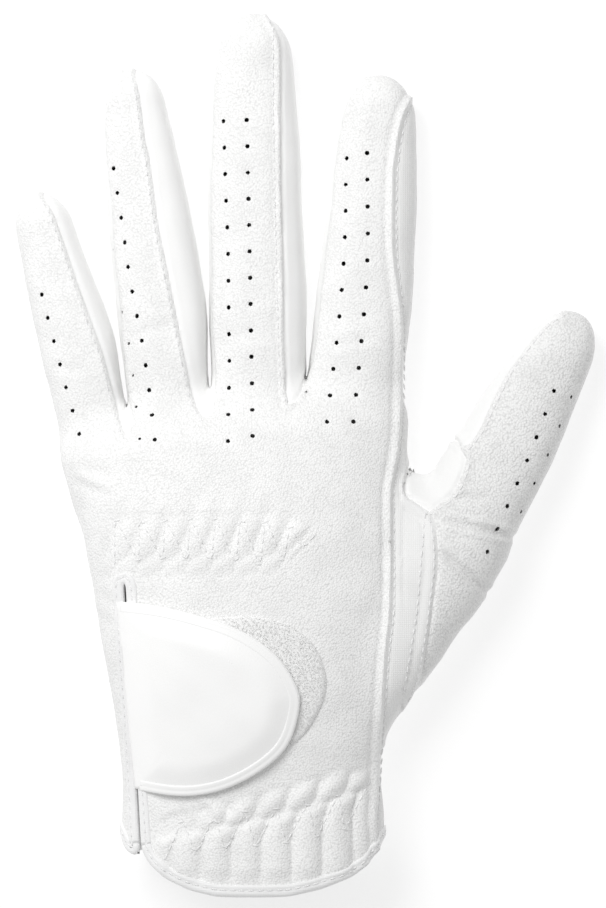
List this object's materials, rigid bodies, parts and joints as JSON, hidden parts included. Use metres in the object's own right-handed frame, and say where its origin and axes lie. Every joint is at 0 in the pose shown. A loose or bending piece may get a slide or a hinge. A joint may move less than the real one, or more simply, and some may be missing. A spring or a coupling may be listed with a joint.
{
  "type": "golf glove",
  "caption": "Left-hand golf glove with perforated leather panels, elastic gathers at knuckles and wrist, bending fingers, and a closure tab that peels open over a loop pad.",
  "frame": {"origin": "on the resting surface, under the middle of the glove's outline", "axes": "+Y towards the fingertips, +Z out of the back of the hand, +X towards the thumb side"},
  "size_m": [0.1502, 0.227, 0.0375],
  "materials": {
    "grained_leather": "fine pebbled grain, semi-matt",
    "smooth_leather": "smooth, satin",
    "mesh": "fine knitted mesh, matt",
    "elastic": "woven elastic, matt",
    "binding_tape": "folded tape, satin",
    "loop_pile": "brushed loop pile",
    "hook_tape": "stiff hook tape, matt",
    "thread": "twisted sewing thread"
  },
  "bodies": {
    "hand": {"back_panel": "grained_leather", "palm_panel": "grained_leather", "side_gusset": "mesh", "thumb_heel_panel": "grained_leather", "thumb_web_gusset": "smooth_leather", "web_little_ring": "smooth_leather", "web_ring_middle": "smooth_leather", "web_middle_index": "smooth_leather", "knuckle_elastic": "elastic", "wrist_elastic": "elastic", "cuff_binding": "binding_tape", "slit_binding": "binding_tape", "loop_pad": "loop_pile"},
    "tab": {"tab_leather": "smooth_leather", "hook_pad": "hook_tape", "tab_binding": "binding_tape"},
    "little_lower": {"little_back_lower": "grained_leather", "little_fourchette_right_lower": "smooth_leather", "little_palm_lower": "grained_leather"},
    "little_tip": {"little_back_tip": "grained_leather", "little_fourchette_right_tip": "smooth_leather", "little_palm_tip": "grained_leather"},
    "ring_lower": {"ring_back_lower": "grained_leather", "ring_fourchette_right_lower": "smooth_leather", "ring_palm_lower": "grained_leather", "ring_fourchette_left_lower": "smooth_leather"},
    "ring_tip": {"ring_back_tip": "grained_leather", "ring_fourchette_right_tip": "smooth_leather", "ring_palm_tip": "grained_leather", "ring_fourchette_left_tip": "smooth_leather"},
    "middle_lower": {"middle_back_lower": "grained_leather", "middle_fourchette_right_lower": "smooth_leather", "middle_palm_lower": "grained_leather", "middle_fourchette_left_lower": "smooth_leather"},
    "middle_tip": {"middle_back_tip": "grained_leather", "middle_fourchette_right_tip": "smooth_leather", "middle_palm_tip": "grained_leather", "middle_fourchette_left_tip": "smooth_leather"},
    "index_lower": {"index_back_lower": "grained_leather", "index_side_strip_lower": "mesh", "index_palm_lower": "grained_leather", "index_fourchette_left_lower": "smooth_leather"},
    "index_tip": {"index_back_tip": "grained_leather", "index_side_strip_tip": "mesh", "index_palm_tip": "grained_leather", "index_fourchette_left_tip": "smooth_leather"},
    "thumb_lower": {"thumb_back_lower": "grained_leather", "thumb_palm_lower": "grained_leather", "thumb_side_strip_lower": "smooth_leather"},
    "thumb_tip": {"thumb_back_tip": "grained_leather", "thumb_palm_tip": "grained_leather", "thumb_side_strip_tip": "smooth_leather"}
  },
  "joints": [
    {"name": "tab_peel", "type": "hinge", "parent": "hand", "child": "tab", "pos_m": [-0.04631, -0.06227, 0.0286], "axis": [0.1127, -0.9933, -0.025], "range_deg": [0, 140]},
    {"name": "little_root_fold", "type": "hinge", "parent": "hand", "child": "little_lower", "pos_m": [-0.05955, 0.02359, 0.0065], "axis": [-0.97, -0.243, 0], "range_deg": [0, 75]},
    {"name": "little_middle_fold", "type": "hinge", "parent": "little_lower", "child": "little_tip", "pos_m": [-0.06441, 0.04299, 0.0055], "axis": [-0.97, -0.243, 0], "range_deg": [0, 85]},
    {"name": "ring_root_fold", "type": "hinge", "parent": "hand", "child": "ring_lower", "pos_m": [-0.03899, 0.03079, 0.0065], "axis": [-0.9952, -0.0979, 0], "range_deg": [0, 75]},
    {"name": "ring_middle_fold", "type": "hinge", "parent": "ring_lower", "child": "ring_tip", "pos_m": [-0.04192, 0.06065, 0.0055], "axis": [-0.9952, -0.0979, 0], "range_deg": [0, 85]},
    {"name": "middle_root_fold", "type": "hinge", "parent": "hand", "child": "middle_lower", "pos_m": [-0.01357, 0.03343, 0.0065], "axis": [-0.9998, -0.0202, 0], "range_deg": [0, 75]},
    {"name": "middle_middle_fold", "type": "hinge", "parent": "middle_lower", "child": "middle_tip", "pos_m": [-0.01426, 0.06742, 0.0055], "axis": [-0.9998, -0.0202, 0], "range_deg": [0, 85]},
    {"name": "index_root_fold", "type": "hinge", "parent": "hand", "child": "index_lower", "pos_m": [0.01295, 0.03321, 0.0065], "axis": [-0.9969, 0.0788, 0], "range_deg": [0, 75]},
    {"name": "index_middle_fold", "type": "hinge", "parent": "index_lower", "child": "index_tip", "pos_m": [0.01515, 0.06112, 0.0055], "axis": [-0.9969, 0.0788, 0], "range_deg": [0, 85]},
    {"name": "thumb_root_fold", "type": "hinge", "parent": "hand", "child": "thumb_lower", "pos_m": [0.03679, -0.02527, 0.0065], "axis": [-0.8723, 0.489, 0], "range_deg": [0, 40]},
    {"name": "thumb_middle_fold", "type": "hinge", "parent": "thumb_lower", "child": "thumb_tip", "pos_m": [0.05195, 0.00177, 0.0055], "axis": [-0.8723, 0.489, 0], "range_deg": [0, 70]}
  ]
}
